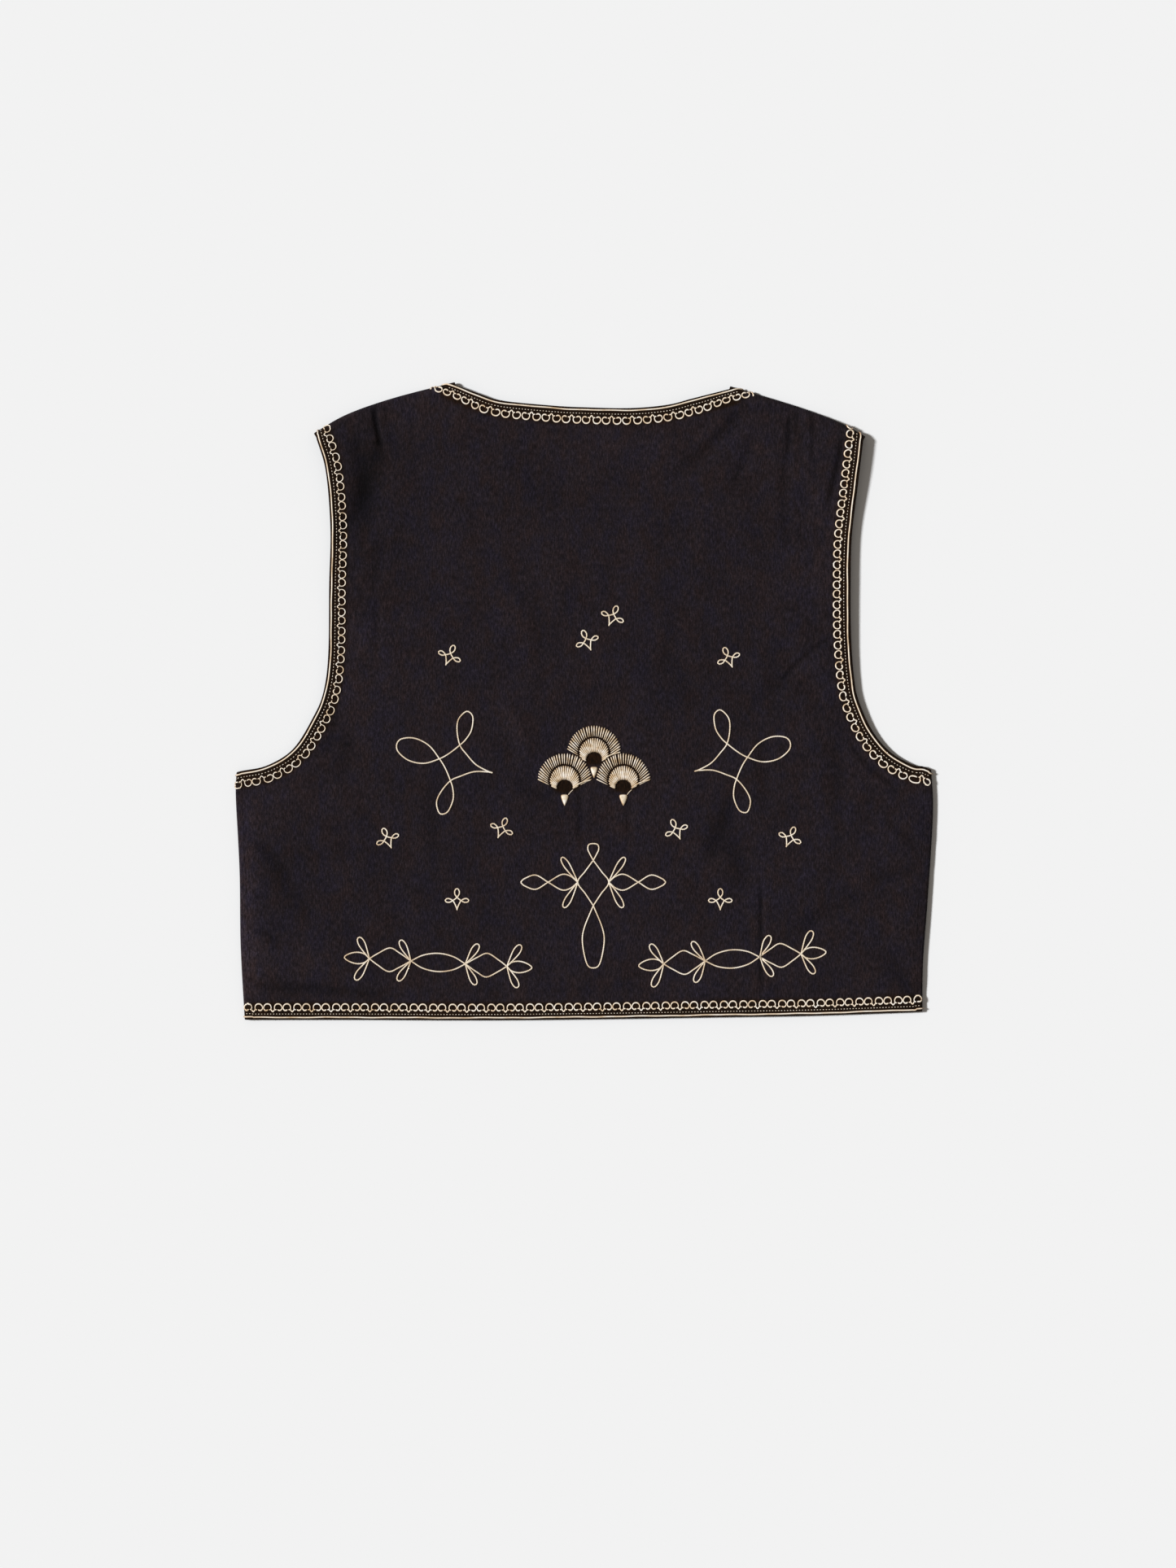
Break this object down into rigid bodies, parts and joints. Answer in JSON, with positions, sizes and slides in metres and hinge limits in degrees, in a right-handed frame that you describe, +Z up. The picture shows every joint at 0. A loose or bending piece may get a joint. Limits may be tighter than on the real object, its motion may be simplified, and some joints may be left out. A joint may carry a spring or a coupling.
{
  "type": "embroidered vest",
  "caption": "Sleeveless waist-length folk vest of dark wool cloth, laid flat with its back up, edged with cream cord and worked with cream couched loops and satin fans.",
  "frame": {"origin": "middle of the vest's box, on the surface that it lies on", "axes": "+X to the right of someone who looks down on the back, +Y towards the neck, +Z up off the surface"},
  "size_m": [0.5146, 0.4709, 0.0098],
  "materials": {
    "cloth": "dark brown-black wool broadcloth, matt, faint slub",
    "cord": "twisted cream cotton cord",
    "satin": "satin stitch in cream and tan silk, soft sheen",
    "embroidery": "couched cream thread and scrolled edging"
  },
  "bodies": {
    "root": {"back_panel": "cloth", "front_panel_left": "cloth", "front_panel_right": "cloth", "hem_cord": "cord", "neck_cord": "cord", "armhole_cord_left": "cord", "armhole_cord_right": "cord", "fan_top": "satin", "fan_left": "satin", "fan_right": "satin", "drop_top": "satin", "drop_left": "satin", "drop_right": "satin"}
  },
  "joints": []
}
